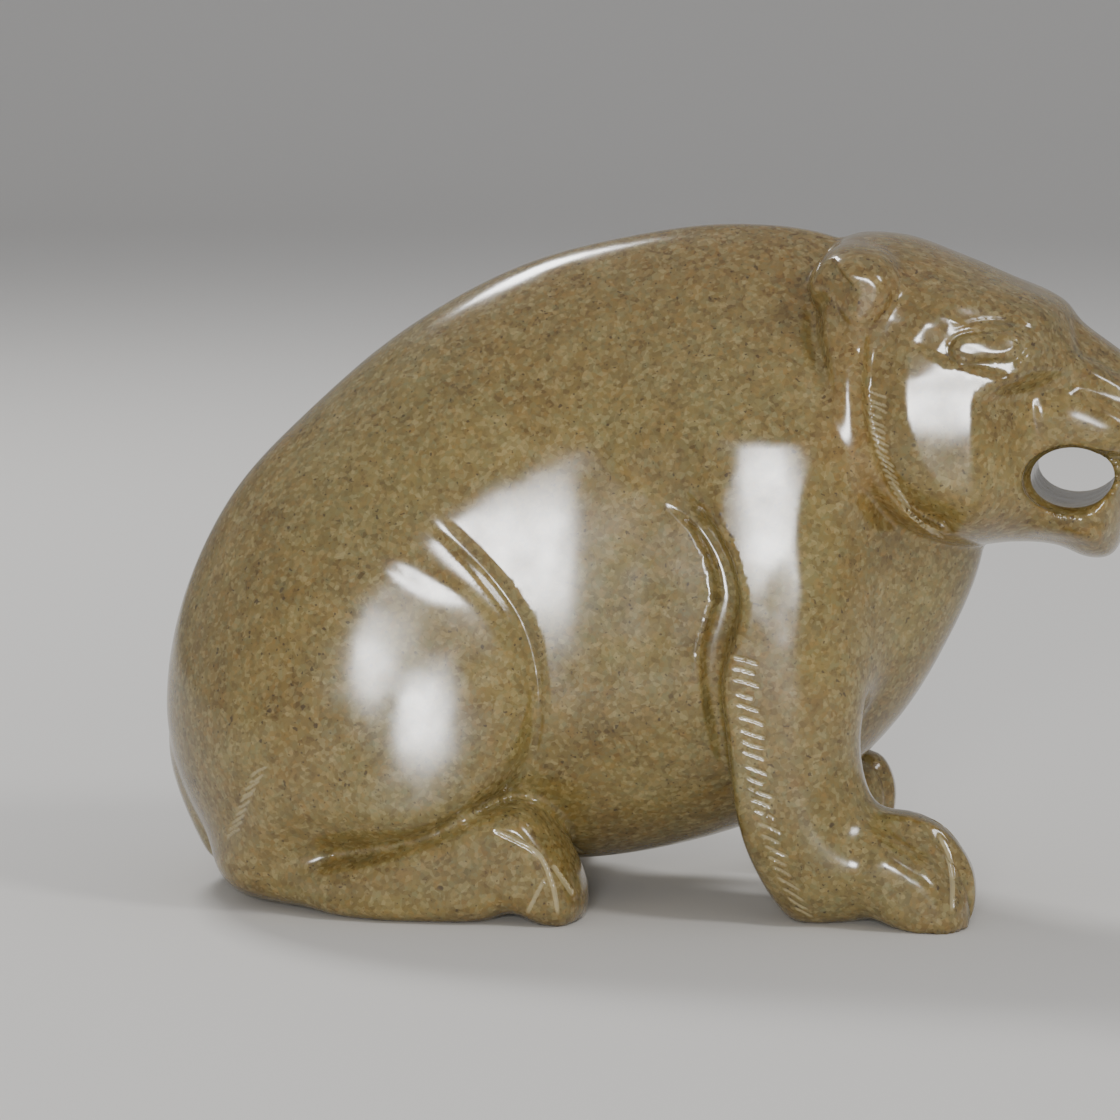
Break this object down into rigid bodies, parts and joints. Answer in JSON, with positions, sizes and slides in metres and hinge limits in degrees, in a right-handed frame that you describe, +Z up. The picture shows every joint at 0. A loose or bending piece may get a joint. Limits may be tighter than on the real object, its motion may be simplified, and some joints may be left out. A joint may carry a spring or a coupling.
{
  "type": "carved bear ornament",
  "caption": "Polished jade carving of a crouching bear with a rounded back, ruffed head and drilled open mouth; stands on its own four feet as an ornament.",
  "frame": {"origin": "on the ground under the middle of the carving's box, where its soles stand", "axes": "+X the way the bear faces, +Y towards the bear's left side, +Z up"},
  "size_m": [0.083, 0.0398, 0.055],
  "materials": {
    "jade": "polished, mottled olive brown"
  },
  "bodies": {
    "root": {"jade_bear": "jade"}
  },
  "joints": []
}
